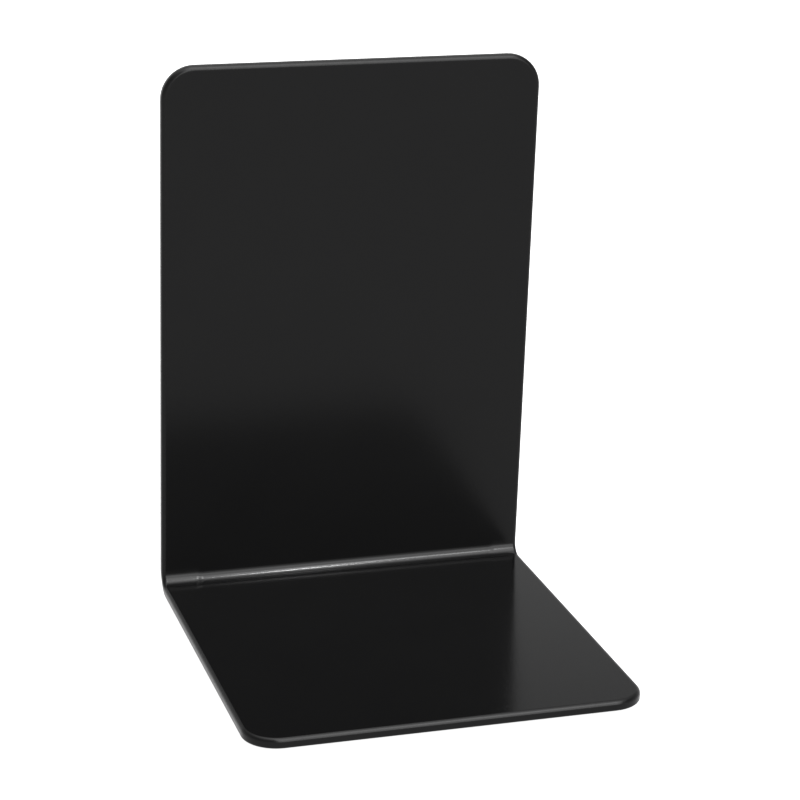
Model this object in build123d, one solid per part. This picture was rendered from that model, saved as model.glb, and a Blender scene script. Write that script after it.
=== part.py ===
"""A plain L-shaped bookend: one bent steel sheet standing on four stick-on rubber pads.

Frame: +Z up, +X to the right along the bend, books stand towards -Y against the upright at +Y.
The origin is on the shelf, under the middle of the bookend. All sizes are in millimetres.
"""

from build123d import *
import os
from collections import Counter
from math import cos, radians, sin, tan

# The bent sheet.
sheet_width = 125.0  # along the bend
base_depth = 129.0  # front edge to the back of the bend
upright_length = 172.6  # from the bend to the top edge, along its slope
upright_lean = 3.0  # degrees: bent a little past square, so that the upright presses on the books
sheet_thickness = 3.2
bend_inside_radius = 3.2
corner_radius = 10.8  # the four free corners, seen square on
book_side_edge_radius = 1.4  # the blanked sheet's rolled-over edge, round the faces that meet the books
outer_side_edge_radius = 0.6  # the deburred edge, round the underside and the back

# The four stick-on pads under the base.
pad_diameter = 12.0
pad_thickness = 1.3
pad_edge_radius = 0.4  # round the face that rests on the shelf
adhesive_diameter = 11.6
adhesive_thickness = 0.2
pad_inset = 15.0  # from the base's edges to a pad's centre

# Places worked out from those sizes.
half_width = sheet_width / 2
back_y = base_depth / 2
front_y = -base_depth / 2
underside_z = pad_thickness + adhesive_thickness
base_top_z = underside_z + sheet_thickness
bend_outside_radius = bend_inside_radius + sheet_thickness
bend_centre = Vector(0, back_y - bend_outside_radius, underside_z + bend_outside_radius)

# Directions from the bend's centre, square to the base and to the upright, and up the upright's slope.
lean = radians(upright_lean)
downwards = Vector(0, 0, -1)
backwards = Vector(0, cos(lean), sin(lean))
up_the_slope = Vector(0, -sin(lean), cos(lean))


def on_upright(radius, along):
    """A point on the upright's face of that bend radius, so far up the slope from the bend."""
    return bend_centre + backwards * radius + up_the_slope * along


def bent_section():
    """The sheet cut across the bend: an L of even thickness with both bend radii."""
    corner_reach = tan(radians(90 + upright_lean) / 2)  # sharp corner to end of bend, in bend radii
    inner_corner = on_upright(bend_inside_radius, -bend_inside_radius * corner_reach)
    outer_corner = on_upright(bend_outside_radius, -bend_outside_radius * corner_reach)
    outline = Polyline(
        (0, front_y, underside_z),
        outer_corner,
        on_upright(bend_outside_radius, upright_length),
        on_upright(bend_inside_radius, upright_length),
        inner_corner,
        (0, front_y, base_top_z),
        close=True,
    )
    section = make_face(outline)
    for corner, radius in ((inner_corner, bend_inside_radius), (outer_corner, bend_outside_radius)):
        section = fillet(section.vertices().sort_by_distance(corner)[0], radius)
    return section


def free_corner_edges(solid):
    """The short edges through the sheet at the two top corners and the two front corners."""
    return [edge for edge in solid.edges() if abs(edge.length - sheet_thickness) < 0.01]


def rim(faces):
    """The closed loop of edges round a run of faces: the edges that only one of them has."""
    count = Counter(edge for face in faces for edge in face.edges())
    return [edge for edge, uses in count.items() if uses == 1]


def bend_face(solid, radius):
    """The cylindrical face of that radius whose axis lies along X."""
    round_faces = solid.faces().filter_by(GeomType.CYLINDER)
    return [
        f
        for f in round_faces
        if abs(f.radius - radius) < 0.01 and f.bounding_box().size.X > sheet_width / 2
    ]


def flat_face(solid, direction, distance):
    """The plane face square to a direction, at that distance from the bend's centre."""
    flat = solid.faces().filter_by(Axis((0, 0, 0), direction)).filter_by(GeomType.PLANE)
    return [f for f in flat if abs((f.center() - bend_centre).dot(direction) - distance) < 0.01]


def sheet_side(solid, radius):
    """One side of the sheet: the base's flat, the bend of that radius and the upright's flat."""
    flats = flat_face(solid, downwards, radius) + flat_face(solid, backwards, radius)
    return flats + bend_face(solid, radius)


def bent_steel_plate():
    """The whole bookend body: blanked, its corners rounded, its edges eased, and bent."""
    solid = extrude(bent_section(), amount=half_width, both=True)
    solid = fillet(free_corner_edges(solid), corner_radius)
    solid = fillet(rim(sheet_side(solid, bend_inside_radius)), book_side_edge_radius)
    return fillet(rim(sheet_side(solid, bend_outside_radius)), outer_side_edge_radius)


def anti_slip_pad(x, y):
    """A rubber disc whose lower face rests on the shelf."""
    disc = Cylinder(
        pad_diameter / 2,
        pad_thickness,
        align=(Align.CENTER, Align.CENTER, Align.MIN),
    )
    disc = fillet(disc.edges().group_by(Axis.Z)[0], pad_edge_radius)
    return Pos(x, y, 0) * disc


def adhesive_disc(x, y):
    """The double-sided film that holds a pad to the underside of the base."""
    film = Cylinder(
        adhesive_diameter / 2,
        adhesive_thickness,
        align=(Align.CENTER, Align.CENTER, Align.MIN),
    )
    return Pos(x, y, pad_thickness) * film


def pad_places():
    """Name and centre of each pad: one near each corner of the base."""
    for end, y in (("front", front_y + pad_inset), ("rear", back_y - pad_inset)):
        for side, sign in (("left", -1), ("right", 1)):
            yield f"{end}_{side}", sign * (half_width - pad_inset), y


os.makedirs("parts", exist_ok=True)
export_step(bent_steel_plate(), "parts/bent_steel_plate.step")
for place, x, y in pad_places():
    export_step(anti_slip_pad(x, y), f"parts/anti_slip_pad_{place}.step")
    export_step(adhesive_disc(x, y), f"parts/adhesive_disc_{place}.step")
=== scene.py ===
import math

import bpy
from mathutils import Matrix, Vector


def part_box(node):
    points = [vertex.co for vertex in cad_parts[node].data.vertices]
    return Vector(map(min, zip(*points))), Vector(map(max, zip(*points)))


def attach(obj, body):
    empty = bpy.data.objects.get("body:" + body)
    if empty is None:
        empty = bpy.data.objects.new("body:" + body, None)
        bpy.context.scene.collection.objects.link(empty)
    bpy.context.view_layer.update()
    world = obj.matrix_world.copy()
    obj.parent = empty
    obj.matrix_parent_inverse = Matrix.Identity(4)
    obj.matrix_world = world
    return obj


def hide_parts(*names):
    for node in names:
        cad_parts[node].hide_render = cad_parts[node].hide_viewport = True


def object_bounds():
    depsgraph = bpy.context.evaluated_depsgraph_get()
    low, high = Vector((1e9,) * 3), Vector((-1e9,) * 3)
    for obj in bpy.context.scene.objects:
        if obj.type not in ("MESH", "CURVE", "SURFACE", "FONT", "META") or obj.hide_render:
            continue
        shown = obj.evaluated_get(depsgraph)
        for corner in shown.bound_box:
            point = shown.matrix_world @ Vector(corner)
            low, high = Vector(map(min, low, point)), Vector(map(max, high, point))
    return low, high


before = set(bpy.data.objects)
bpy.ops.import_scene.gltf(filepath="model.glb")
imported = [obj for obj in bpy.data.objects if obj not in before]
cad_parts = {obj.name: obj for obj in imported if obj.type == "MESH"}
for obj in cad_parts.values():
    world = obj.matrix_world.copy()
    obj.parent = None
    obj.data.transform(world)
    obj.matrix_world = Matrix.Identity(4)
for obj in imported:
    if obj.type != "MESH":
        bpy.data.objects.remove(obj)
cad_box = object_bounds()

# The looks of a black powder-coated steel bookend on four stick-on rubber pads.
# Metres, in the CAD frame: +Z up, +X along the bend, books stand towards -Y against the upright at +Y,
# which leans a little over them.

# ---------------------------------------------------------------- sizes

BODY = "root"
MM = 0.001

SHEET_THICKNESS = 3.2 * MM
BEND_INSIDE_RADIUS = 3.2 * MM
BEND_OUTSIDE_RADIUS = BEND_INSIDE_RADIUS + SHEET_THICKNESS
UPRIGHT_LEAN = math.radians(3.0)
CORNER_RADIUS = 10.8 * MM  # the sheet's four free corners
BOOK_SIDE_EDGE_RADIUS = 1.4 * MM
OUTER_SIDE_EDGE_RADIUS = 0.6 * MM

# The press tool is taken to be shorter than the bend, so that past its ends the inside is softer.
TOOL_MIDDLE = 1.8 * MM
TOOL_HALF_LENGTH = 51.0 * MM
TOOL_END_INSIDE = 1.2 * MM  # the softening starts this far inside the tool's end
TOOL_END_OUTSIDE = 1.8 * MM  # and is complete this far outside it
END_FILLET = 0.22 * MM  # how far the softer ends stand proud, at the middle of the bend
TOOL_END_DENT = 0.06 * MM
DENT_REACH = 1.6 * MM  # to each side of the tool's end
BEND_FADE = 1.3 * MM  # how far onto the flats all this reaches
OUTER_DRAW_IN = 0.20 * MM  # the stretched outside of the bend is this much narrower at each end
DRAW_IN_START = 0.7  # where that narrowing starts, as a share of the half width

CORNER_STEPS = 12  # how many pieces of mesh go round each free corner

PAD_EDGE_RADIUS = 0.4 * MM
PAD_BACK_EDGE_RADIUS = 0.12 * MM
FILM_EDGE_WOBBLE = 0.05 * MM

CORNERS = [side_y + "_" + side_x for side_y in ("front", "rear") for side_x in ("left", "right")]


def smooth_step(start, end, value):
    """0 before start, 1 after end, and an even curve between them."""
    share = min(1.0, max(0.0, (value - start) / (end - start)))
    return share * share * (3.0 - 2.0 * share)


def steps(start, end, spacing):
    """Even steps from start to end, both included, no further apart than spacing."""
    count = max(1, math.ceil(abs(end - start) / spacing - 1e-9))
    return [start + (end - start) * i / count for i in range(count + 1)]


def smooth_mesh(name, points, faces):
    mesh = bpy.data.meshes.new(name)
    mesh.from_pydata(points, [], faces)
    mesh.polygons.foreach_set("use_smooth", [True] * len(mesh.polygons))
    mesh.update()
    return mesh


# ---------------------------------------------------------------- the bent sheet

sheet_low, sheet_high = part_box("bent_steel_plate")
half_width = (sheet_high.x - sheet_low.x) / 2
middle_x = (sheet_high.x + sheet_low.x) / 2
front_y = sheet_low.y
base_top_z = sheet_low.z + SHEET_THICKNESS
bend_centre = Vector((middle_x, sheet_high.y - BEND_OUTSIDE_RADIUS, sheet_low.z + BEND_OUTSIDE_RADIUS))

# Square to the upright, out of its back, and up its slope.
backwards = Vector((0, math.cos(UPRIGHT_LEAN), math.sin(UPRIGHT_LEAN)))
up_the_slope = Vector((0, -math.sin(UPRIGHT_LEAN), math.cos(UPRIGHT_LEAN)))

base_length = bend_centre.y - front_y
bend_length = BEND_INSIDE_RADIUS * (math.pi / 2 + UPRIGHT_LEAN)
edge_centre_reach = BEND_OUTSIDE_RADIUS - OUTER_SIDE_EDGE_RADIUS
edge_centre_z = sheet_high.z - OUTER_SIDE_EDGE_RADIUS  # the rounding at the top of the back is the highest
edge_rise = edge_centre_z - bend_centre.z - edge_centre_reach * math.sin(UPRIGHT_LEAN)
upright_length = edge_rise / math.cos(UPRIGHT_LEAN) + OUTER_SIDE_EDGE_RADIUS
sheet_length = base_length + bend_length + upright_length


def bend_details(u, s, depth):
    """What bending adds to a point of an even sheet: how far it moves along the bend and out of the steel."""
    from_bend_middle = abs(s - base_length - bend_length / 2)
    near_bend = 1.0 - smooth_step(0.0, bend_length / 2 + BEND_FADE, from_bend_middle)
    from_tool_end = abs(u - TOOL_MIDDLE) - TOOL_HALF_LENGTH
    softer = smooth_step(-TOOL_END_INSIDE, TOOL_END_OUTSIDE, from_tool_end)
    dent = 1.0 - smooth_step(0.0, DENT_REACH, abs(from_tool_end))
    inner_share = 1.0 - depth / SHEET_THICKNESS
    proud = near_bend * inner_share * (END_FILLET * softer - TOOL_END_DENT * dent)
    near_side = smooth_step(DRAW_IN_START, 1.0, abs(u) / half_width)
    draw_in = OUTER_DRAW_IN * near_bend * (1.0 - inner_share) * near_side
    return -math.copysign(draw_in, u), proud


def sheet_point(u, s, depth):
    """u runs along the bend, s up the book side from the front edge to the top, depth into the steel."""
    along, proud = bend_details(u, s, depth)
    u, depth = u + along, depth - proud
    if s <= base_length:
        return Vector((middle_x + u, front_y + s, base_top_z - depth))
    reach = BEND_INSIDE_RADIUS + depth
    across = Vector((u, 0, 0))
    if s <= base_length + bend_length:
        angle = (s - base_length) / BEND_INSIDE_RADIUS
        return bend_centre + across + reach * Vector((0, math.sin(angle), -math.cos(angle)))
    return bend_centre + across + reach * backwards + (s - base_length - bend_length) * up_the_slope


def sheet_stations():
    """Places along s where the sheet's flat rows run, closest together round the bend."""
    near = 3 * MM
    rows = steps(CORNER_RADIUS, base_length - near, 4.2 * MM)[:-1]
    rows += steps(base_length - near, base_length, 0.75 * MM)[:-1]
    rows += steps(base_length, base_length + bend_length, 0.16 * MM)[:-1]
    rows += steps(base_length + bend_length, base_length + bend_length + near, 0.75 * MM)[:-1]
    rows += steps(base_length + bend_length + near, sheet_length - CORNER_RADIUS, 4.2 * MM)
    return rows


def sheet_columns():
    """Places along u where the sheet's columns run, closest together by the tool's ends."""
    edge = half_width - CORNER_RADIUS
    fine = 8 * MM
    columns = steps(-edge, -edge + fine, 0.4 * MM)[:-1]
    columns += steps(-edge + fine, edge - fine, 3.5 * MM)[:-1]
    columns += steps(edge - fine, edge, 0.4 * MM)
    return columns


def sheet_loop(inset, columns, stations):
    """The sheet's outline at a distance inside its edge, as points (u, s)."""
    edge = half_width - CORNER_RADIUS
    radius = CORNER_RADIUS - inset
    low, high = CORNER_RADIUS, sheet_length - CORNER_RADIUS

    def corner(u, s, start):
        angles = [math.radians(start + 90.0 * i / CORNER_STEPS) for i in range(1, CORNER_STEPS)]
        return [(u + radius * math.cos(a), s + radius * math.sin(a)) for a in angles]

    loop = [(u, inset) for u in columns]
    loop += corner(edge, low, -90)
    loop += [(half_width - inset, s) for s in stations]
    loop += corner(edge, high, 0)
    loop += [(u, sheet_length - inset) for u in reversed(columns)]
    loop += corner(-edge, high, 90)
    loop += [(-half_width + inset, s) for s in reversed(stations)]
    loop += corner(-edge, low, 180)
    return loop


def sheet_edge_profile():
    """From the book side round the edge to the outer side: pairs (inset, depth)."""
    inner, outer = BOOK_SIDE_EDGE_RADIUS, OUTER_SIDE_EDGE_RADIUS
    flat_insets = [10.4, 10.0, 9.6, 9.2, 8.8, 8.4, 7.8, 7.0, 6.0, 4.8, 3.6, 2.6, 1.9, 1.55]
    profile = [(inset * MM, 0.0) for inset in flat_insets]
    for i in range(11):
        turn = math.radians(90 * i / 10)
        profile.append((inner - inner * math.sin(turn), inner - inner * math.cos(turn)))
    wall = steps(inner, SHEET_THICKNESS - outer, 0.5 * MM)
    profile += [(0.0, depth) for depth in wall[1:-1]]
    for i in range(7):
        turn = math.radians(90 * i / 6)
        profile.append((outer - outer * math.cos(turn), SHEET_THICKNESS - outer + outer * math.sin(turn)))
    profile += [(inset * MM, SHEET_THICKNESS) for inset in (1.0, 1.9, 3.6, 6.0, 8.4)]
    return profile


def build_sheet():
    columns, stations = sheet_columns(), sheet_stations()
    profile = sheet_edge_profile()
    points, faces, edge_share, standing = [], [], [], []

    def add(u, s, depth, inset=CORNER_RADIUS):
        points.append(sheet_point(u, s, depth))
        edge_share.append(1.0 - smooth_step(BOOK_SIDE_EDGE_RADIUS * 0.6, BOOK_SIDE_EDGE_RADIUS * 1.4, inset))
        standing.append(smooth_step(base_length, base_length + bend_length, s))
        return len(points) - 1

    def flat_grid(depth, flip):
        grid = [[add(u, s, depth) for u in columns] for s in stations]
        for row, above in zip(grid, grid[1:]):
            for i in range(len(columns) - 1):
                face = (row[i], row[i + 1], above[i + 1], above[i])
                faces.append(face[::-1] if flip else face)
        return grid

    def grid_border(grid):
        """The grid's border in the order of sheet_loop: each corner stands for its whole arc."""
        arc_points = CORNER_STEPS - 1
        border = list(grid[0])
        border += [grid[0][-1]] * arc_points
        border += [row[-1] for row in grid]
        border += [grid[-1][-1]] * arc_points
        border += list(reversed(grid[-1]))
        border += [grid[-1][0]] * arc_points
        border += [row[0] for row in reversed(grid)]
        border += [grid[0][0]] * arc_points
        return border

    loops = [grid_border(flat_grid(0.0, False))]
    for inset, depth in profile:
        loops.append([add(u, s, depth, inset) for u, s in sheet_loop(inset, columns, stations)])
    loops.append(grid_border(flat_grid(SHEET_THICKNESS, True)))
    for loop, following in zip(loops, loops[1:]):
        for i in range(len(loop)):
            j = (i + 1) % len(loop)
            corners = [loop[i], following[i], following[j], loop[j]]
            face = [c for k, c in enumerate(corners) if c != corners[k - 1]]
            if len(set(face)) >= 3:
                faces.append(face)

    mesh = smooth_mesh("coated_sheet", points, faces)
    for name, values in (("edge", edge_share), ("standing", standing)):
        mesh.attributes.new(name, "FLOAT", "POINT").data.foreach_set("value", values)
    return mesh


# ---------------------------------------------------------------- the stick-on pads

def turned_mesh(name, centre, profile, wobble=0.0):
    """A round solid: profile runs (radius, height) from the middle of its lower face to that of its top.

    The wobble makes the edge uneven, and by the solid's place no two edges are the same.
    """
    around = 96
    slow_waves, fast_waves = 5, 17
    waves_start = centre.x * 900
    points = [(centre.x, centre.y, profile[0][1])]
    for radius, height in profile[1:-1]:
        for i in range(around):
            turn = 2 * math.pi * i / around
            waves = math.sin(slow_waves * turn) * math.sin(fast_waves * turn + waves_start) - 1.0
            reach = radius + wobble * waves / 2
            points.append((centre.x + reach * math.cos(turn), centre.y + reach * math.sin(turn), height))
    points.append((centre.x, centre.y, profile[-1][1]))
    rings = len(profile) - 2
    top = len(points) - 1
    faces = []
    for i in range(around):
        j = (i + 1) % around
        faces.append((0, 1 + j, 1 + i))
        for ring in range(rings - 1):
            low, high = 1 + ring * around, 1 + (ring + 1) * around
            faces.append((low + i, low + j, high + j, high + i))
        last = 1 + (rings - 1) * around
        faces.append((last + i, last + j, top))
    return smooth_mesh(name, points, faces)


def rounding(radius, height, size, start, end):
    """A rounded edge in a profile: centre (radius, height), turned from start to end in degrees."""
    turns = [math.radians(start + (end - start) * i / 6) for i in range(7)]
    return [(radius + size * math.cos(a), height + size * math.sin(a)) for a in turns]


def build_pad(place):
    low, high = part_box("anti_slip_pad_" + place)
    reach = (high.x - low.x) / 2
    big, small = PAD_EDGE_RADIUS, PAD_BACK_EDGE_RADIUS
    profile = [(0.0, low.z), (reach * 0.5, low.z), (reach * 0.9, low.z)]
    profile += rounding(reach - big, low.z + big, big, -90, 0)
    profile += rounding(reach - small, high.z - small, small, 0, 90)
    profile += [(reach * 0.9, high.z), (reach * 0.5, high.z), (0.0, high.z)]
    return turned_mesh("rubber_pad_" + place, (low + high) / 2, profile)


def build_film(place):
    low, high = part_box("adhesive_disc_" + place)
    reach = (high.x - low.x) / 2
    rim = 0.04 * MM
    profile = [(0.0, low.z), (reach * 0.6, low.z), (reach - 4 * rim, low.z), (reach - rim, low.z)]
    profile += [(reach, low.z + rim), (reach, high.z - rim)]
    profile += [(reach - rim, high.z), (reach - 4 * rim, high.z), (reach * 0.6, high.z), (0.0, high.z)]
    return turned_mesh("adhesive_film_" + place, (low + high) / 2, profile, FILM_EDGE_WOBBLE)


# ---------------------------------------------------------------- materials

def new_material(name):
    material = bpy.data.materials.new(name)
    material.use_nodes = True
    tree = material.node_tree
    tree.nodes.clear()
    output = tree.nodes.new("ShaderNodeOutputMaterial")
    shader = tree.nodes.new("ShaderNodeBsdfPrincipled")
    tree.links.new(shader.outputs["BSDF"], output.inputs["Surface"])
    return material, tree, shader


def noise(tree, scale, detail=2.0, roughness=0.5):
    """Noise over the object's own metres, so that scale is waves per metre."""
    coordinates = tree.nodes.new("ShaderNodeTexCoord")
    texture = tree.nodes.new("ShaderNodeTexNoise")
    tree.links.new(coordinates.outputs["Object"], texture.inputs["Vector"])
    texture.inputs["Scale"].default_value = scale
    texture.inputs["Detail"].default_value = detail
    texture.inputs["Roughness"].default_value = roughness
    return texture.outputs["Fac"]


def spread(tree, source, low, high, from_low=0.3, from_high=0.7):
    """source, from_low to from_high, made to run from low to high."""
    node = tree.nodes.new("ShaderNodeMapRange")
    tree.links.new(source, node.inputs["Value"])
    node.inputs["From Min"].default_value = from_low
    node.inputs["From Max"].default_value = from_high
    node.inputs["To Min"].default_value = low
    node.inputs["To Max"].default_value = high
    return node.outputs["Result"]


def mixed_colour(tree, factor, first, second):
    """first where the factor is 0 and second where it is 1; each is a colour or another socket."""
    node = tree.nodes.new("ShaderNodeMix")
    node.data_type = "RGBA"
    tree.links.new(factor, node.inputs["Factor"])
    sockets = [socket for socket in node.inputs if socket.type == "RGBA"]
    for socket, colour in zip(sockets, (first, second)):
        if isinstance(colour, tuple):
            socket.default_value = (*colour, 1.0)
        else:
            tree.links.new(colour, socket)
    return [socket for socket in node.outputs if socket.type == "RGBA"][0]


def maths(tree, operation, *values):
    node = tree.nodes.new("ShaderNodeMath")
    node.operation = operation
    for socket, value in zip(node.inputs, values):
        if isinstance(value, float):
            socket.default_value = value
        else:
            tree.links.new(value, socket)
    return node.outputs[0]


def mesh_value(tree, name):
    """A number that the mesh carries at each of its points."""
    node = tree.nodes.new("ShaderNodeAttribute")
    node.attribute_name = name
    return node.outputs["Fac"]


def bump(tree, height, distance, normal=None):
    """A normal raised by height times distance in metres, on top of another normal if there is one."""
    node = tree.nodes.new("ShaderNodeBump")
    node.inputs["Strength"].default_value = 1.0
    node.inputs["Distance"].default_value = distance
    tree.links.new(height, node.inputs["Height"])
    if normal is not None:
        tree.links.new(normal, node.inputs["Normal"])
    return node.outputs["Normal"]


def black_powder_coat():
    """Satin black powder coat: a faint orange peel, smoother on the base, drier and worn on the edges."""
    material, tree, shader = new_material("black_powder_coat")
    link = tree.links.new
    edge = mesh_value(tree, "edge")
    standing = mesh_value(tree, "standing")
    clouds = mixed_colour(tree, noise(tree, 38.0, 3.0), (0.0036, 0.0036, 0.0038), (0.0052, 0.0052, 0.0054))
    scuffs = spread(tree, noise(tree, 900.0, 5.0, 0.6), 0.0, 1.0, 0.56, 0.74)
    worn = maths(tree, "MULTIPLY", maths(tree, "MULTIPLY", edge, scuffs), 0.5)
    link(mixed_colour(tree, worn, clouds, (0.011, 0.011, 0.0115)), shader.inputs["Base Color"])
    shader.inputs["Specular IOR Level"].default_value = 0.38
    flat_gloss = spread(tree, noise(tree, 55.0, 4.0), 0.135, 0.155)
    gloss = maths(tree, "ADD", flat_gloss, maths(tree, "MULTIPLY", standing, 0.06))
    dry_edge = maths(tree, "MULTIPLY", edge, spread(tree, noise(tree, 400.0, 3.0), 0.05, 0.11))
    link(maths(tree, "ADD", gloss, dry_edge), shader.inputs["Roughness"])
    peel = bump(tree, noise(tree, 520.0, 2.0), 0.000004)
    grain = bump(tree, noise(tree, 3200.0, 2.0), 0.0000012, peel)
    link(bump(tree, scuffs, 0.000008, grain), shader.inputs["Normal"])
    return material


def pad_rubber():
    """Black moulded rubber with a fine grain and a little dust where it has been handled."""
    material, tree, shader = new_material("pad_rubber")
    link = tree.links.new
    rubber = mixed_colour(tree, noise(tree, 260.0, 3.0), (0.016, 0.016, 0.016), (0.026, 0.026, 0.025))
    dust = spread(tree, noise(tree, 700.0, 5.0, 0.65), 0.0, 0.35, 0.52, 0.72)
    link(mixed_colour(tree, dust, rubber, (0.10, 0.095, 0.085)), shader.inputs["Base Color"])
    link(spread(tree, noise(tree, 600.0, 3.0), 0.58, 0.78), shader.inputs["Roughness"])
    grain = bump(tree, noise(tree, 2600.0, 3.0), 0.00003)
    link(bump(tree, noise(tree, 420.0, 2.0), 0.00004, grain), shader.inputs["Normal"])
    return material


def adhesive_film():
    """Yellowish double-sided film, seen only as a thin line above each pad."""
    material, tree, shader = new_material("adhesive_film")
    link = tree.links.new
    colour = mixed_colour(tree, noise(tree, 900.0, 4.0), (0.50, 0.46, 0.36), (0.62, 0.59, 0.50))
    link(colour, shader.inputs["Base Color"])
    link(spread(tree, noise(tree, 1200.0, 3.0), 0.32, 0.50), shader.inputs["Roughness"])
    link(bump(tree, noise(tree, 3000.0, 3.0), 0.00001), shader.inputs["Normal"])
    return material


def floor_paper():
    """White paper on a light table, which leaves only a pale shadow under the bookend."""
    material, tree, shader = new_material("floor_paper")
    link = tree.links.new
    colour = mixed_colour(tree, noise(tree, 3.0, 2.0), (0.20, 0.20, 0.20), (0.22, 0.22, 0.22))
    link(colour, shader.inputs["Base Color"])
    shader.inputs["Emission Color"].default_value = (1.0, 1.0, 1.0, 1.0)
    shader.inputs["Emission Strength"].default_value = 0.272
    shader.inputs["Roughness"].default_value = 0.9
    shader.inputs["Specular IOR Level"].default_value = 0.0
    return material


# ---------------------------------------------------------------- pieces

def make_piece(name, mesh, material, nodes):
    piece = bpy.data.objects.new(name, mesh)
    bpy.context.scene.collection.objects.link(piece)
    mesh.materials.append(material)
    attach(piece, BODY)
    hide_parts(*nodes)
    return piece


coat, rubber, film = black_powder_coat(), pad_rubber(), adhesive_film()
sheet = make_piece("coated_sheet", build_sheet(), coat, ["bent_steel_plate"])
keep_flats_flat = sheet.modifiers.new("keep_flats_flat", "WEIGHTED_NORMAL")
keep_flats_flat.weight = 50
for place in CORNERS:
    make_piece("rubber_pad_" + place, build_pad(place), rubber, ["anti_slip_pad_" + place])
    make_piece("adhesive_film_" + place, build_film(place), film, ["adhesive_disc_" + place])


# ---------------------------------------------------------------- floor, light and camera

def make_floor():
    reach = 6.0  # metres from the bookend to each side
    mesh = bpy.data.meshes.new("floor")
    places = [(-reach, -reach, 0), (reach, -reach, 0), (reach, reach, 0), (-reach, reach, 0)]
    mesh.from_pydata(places, [], [(0, 1, 2, 3)])
    mesh.materials.append(floor_paper())
    floor = bpy.data.objects.new("floor", mesh)
    bpy.context.scene.collection.objects.link(floor)


def ramp(tree, source, stops):
    """A value that follows the stops (place, value), straight between them."""
    node = tree.nodes.new("ShaderNodeValToRGB")
    tree.links.new(source, node.inputs["Fac"])
    elements = node.color_ramp.elements
    while len(elements) < len(stops):
        elements.new(0.5)
    for element, (place, value) in zip(elements, stops):
        element.position = place
        element.color = (value, value, value, 1.0)
    return node.outputs["Color"]


def make_world():
    """A pale backdrop, a brighter ceiling, and an upright soft glow in front, a little to the right."""
    world = bpy.data.worlds.new("studio")
    bpy.context.scene.world = world
    world.use_nodes = True
    tree = world.node_tree
    tree.nodes.clear()
    output = tree.nodes.new("ShaderNodeOutputWorld")
    background = tree.nodes.new("ShaderNodeBackground")
    coordinates = tree.nodes.new("ShaderNodeTexCoord")
    split = tree.nodes.new("ShaderNodeSeparateXYZ")
    tree.links.new(coordinates.outputs["Generated"], split.inputs[0])
    up = split.outputs["Z"]
    forwards = maths(tree, "MULTIPLY", split.outputs["Y"], -1.0)
    backdrop = [(0.0, 0.30), (0.28, 0.30), (0.36, 0.27), (0.42, 0.22), (0.6, 0.24)]
    ceiling = [(0.75, 0.36), (0.9, 0.75), (1.0, 1.2)]
    sky = ramp(tree, up, backdrop + ceiling)
    facing = ramp(tree, forwards, [(0.0, 0.0), (0.35, 1.0)])
    glow_middle = 0.2  # along X, as are the ends of its even part and of its fade
    aside = maths(tree, "ABSOLUTE", maths(tree, "SUBTRACT", split.outputs["X"], glow_middle))
    width = ramp(tree, aside, [(0.25, 1.0), (0.45, 0.0)])
    low_glow = [(0.0, 0.5), (0.1, 1.0), (0.28, 1.5), (0.38, 1.2), (0.46, 1.15)]
    high_glow = [(0.54, 1.5), (0.7, 1.65), (0.9, 1.2), (1.0, 0.9)]
    glow = ramp(tree, up, low_glow + high_glow)
    panel = maths(tree, "MULTIPLY", maths(tree, "MULTIPLY", facing, width), glow)
    total = maths(tree, "ADD", sky, panel)
    tree.links.new(total, background.inputs["Color"])
    tree.links.new(background.outputs[0], output.inputs["Surface"])


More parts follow.
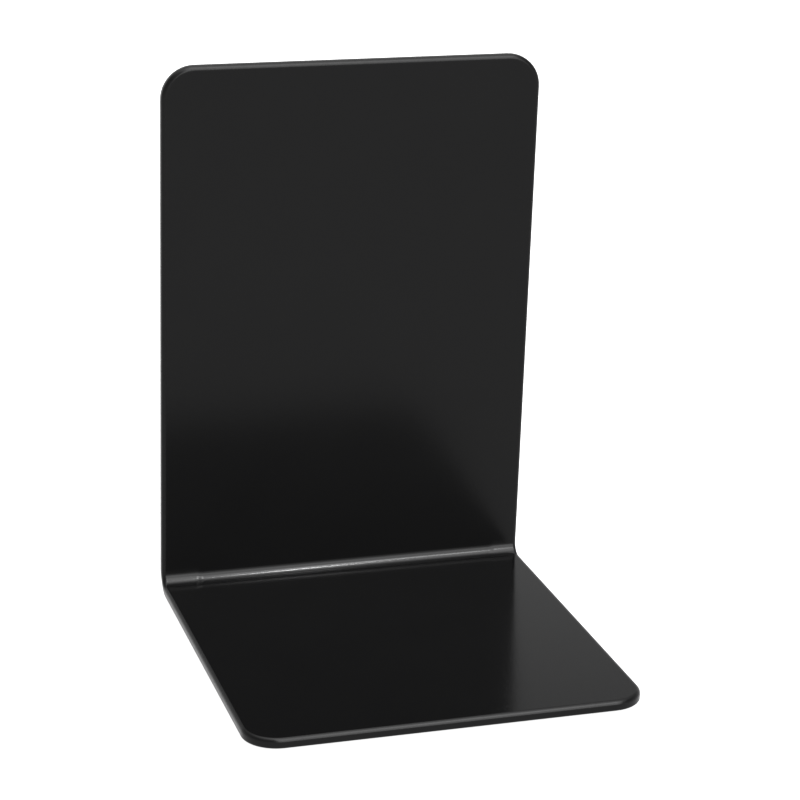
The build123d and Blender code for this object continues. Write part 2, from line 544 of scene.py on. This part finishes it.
def area_light(name, aim, direction, distance, width, height, radiance, half_spread):
    """A soft box behind a grid: seen from aim in that direction, and dark from half_spread off its axis."""
    lamp = bpy.data.lights.new(name, "AREA")
    lamp.shape = "RECTANGLE"
    lamp.size, lamp.size_y = width, height
    lamp.spread = 2 * half_spread
    grid_share = 1.0 - half_spread / math.tan(half_spread)
    lamp.energy = radiance * math.pi * width * height * grid_share
    light = bpy.data.objects.new(name, lamp)
    bpy.context.scene.collection.objects.link(light)
    towards = Vector(direction).normalized()
    light.location = Vector(aim) + towards * distance
    light.rotation_mode = "QUATERNION"
    light.rotation_quaternion = towards.to_track_quat("Z", "Y")
    light.visible_camera = False


def make_lights():
    """Two small lamps above the base, mirrored in the bend as a brighter stretch of its highlight."""
    distance = 0.5
    tilt = math.radians(27)
    area_light(
        "lamp",
        aim=(-22 * MM, bend_centre.y, base_top_z),
        direction=(0.26, -math.sin(tilt), math.cos(tilt)),
        distance=distance,
        width=0.02,
        height=0.09,
        radiance=44.0,
        half_spread=math.radians(7),
    )
    tilt = math.radians(42)
    area_light(
        "fill",
        aim=(4 * MM, bend_centre.y, base_top_z),
        direction=(0.30, -math.sin(tilt), math.cos(tilt)),
        distance=distance,
        width=0.12,
        height=0.09,
        radiance=4.5,
        half_spread=math.radians(12),
    )


VIEW_AZIMUTH = math.radians(-16.83)
VIEW_ELEVATION = math.radians(18.00)
VIEW_ROLL = math.radians(1.02)
VIEW_DISTANCE = 796.2 * MM
VIEW_LENS = 115.42  # on a sensor 36 mm wide
AIM_FROM_CENTRE = Vector((1.25, 1.39, -6.84)) * MM


def make_camera():
    lens = bpy.data.cameras.new("camera")
    lens.sensor_width = 36.0
    lens.lens = VIEW_LENS
    lens.clip_start, lens.clip_end = 0.01, 50.0
    camera = bpy.data.objects.new("camera", lens)
    bpy.context.scene.collection.objects.link(camera)
    back = Vector((
        math.sin(VIEW_AZIMUTH) * math.cos(VIEW_ELEVATION),
        -math.cos(VIEW_AZIMUTH) * math.cos(VIEW_ELEVATION),
        math.sin(VIEW_ELEVATION),
    ))
    aim = (cad_box[0] + cad_box[1]) / 2 + AIM_FROM_CENTRE
    camera.location = aim + back * VIEW_DISTANCE
    camera.rotation_mode = "QUATERNION"
    roll = Matrix.Rotation(VIEW_ROLL, 4, "Z").to_quaternion()
    camera.rotation_quaternion = back.to_track_quat("Z", "Y") @ roll
    bpy.context.scene.camera = camera


make_floor()
make_world()
make_lights()
make_camera()
view = bpy.context.scene.view_settings
view.view_transform = "Standard"
view.exposure, view.gamma = 1.8, 0.714  # a product picture's contrast: the pale floor goes to white
